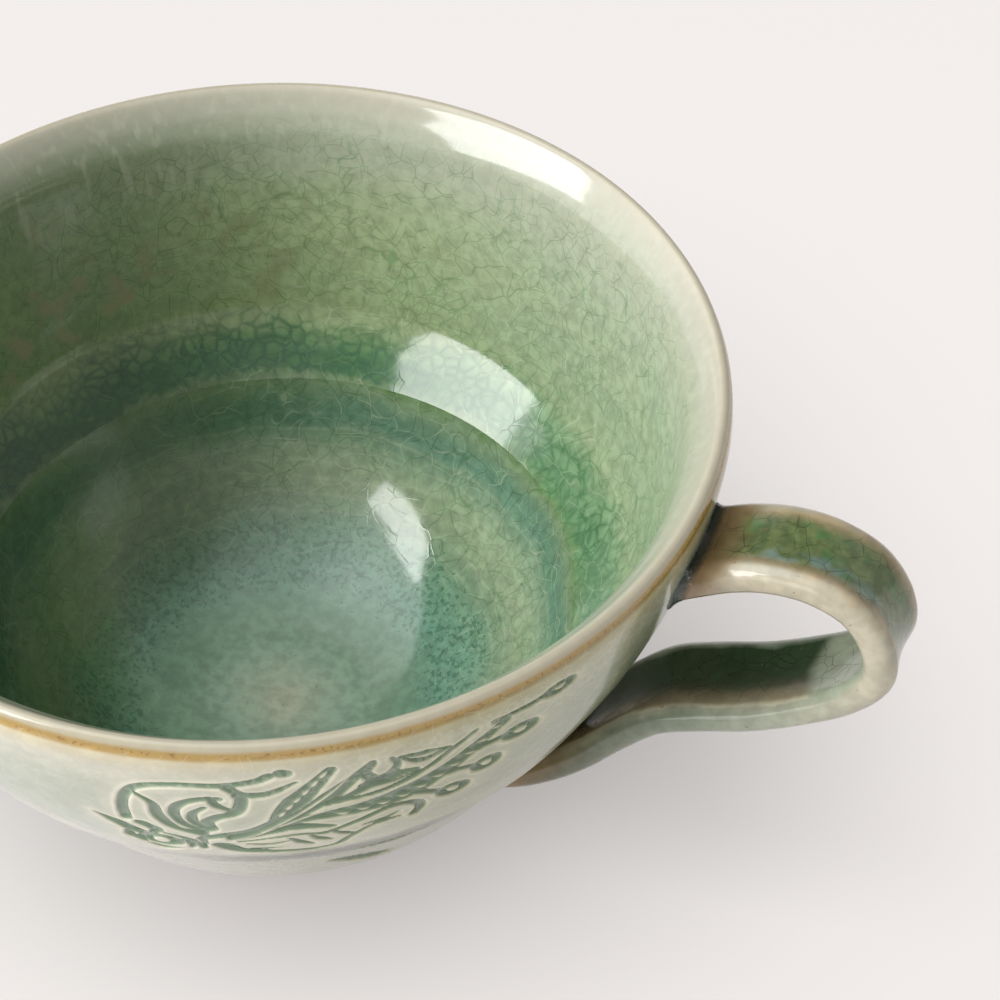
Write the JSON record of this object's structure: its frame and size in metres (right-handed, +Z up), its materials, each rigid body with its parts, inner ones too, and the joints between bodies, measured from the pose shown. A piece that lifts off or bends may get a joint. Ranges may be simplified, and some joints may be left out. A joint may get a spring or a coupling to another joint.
{
  "type": "teacup",
  "caption": "Wide handled teacup: a thrown celadon bowl on a turned foot ring, with a flat grooved strap handle for one finger.",
  "frame": {"origin": "on the table under the middle of the whole cup, handle included", "axes": "+X to the handle, +Z up out of the cup's mouth"},
  "size_m": [0.1217, 0.1, 0.063],
  "materials": {
    "celadon_glaze": "glossy sage-green crackle glaze, pale where thin, over a carved leaf spray",
    "fired_clay": "bare fired stoneware, tan and matt",
    "handle_glaze": "glossy green crackle glaze, deep in the grooves and cream on the edges",
    "pooled_glaze": "thick pooled dark green glaze, wet gloss",
    "joint_slip": "thin glaze over tan clay slip"
  },
  "bodies": {
    "root": {"cup_bowl": "celadon_glaze", "foot_ring": "fired_clay", "handle": "handle_glaze", "upper_handle_joint": "pooled_glaze", "lower_handle_joint": "joint_slip"}
  },
  "joints": []
}
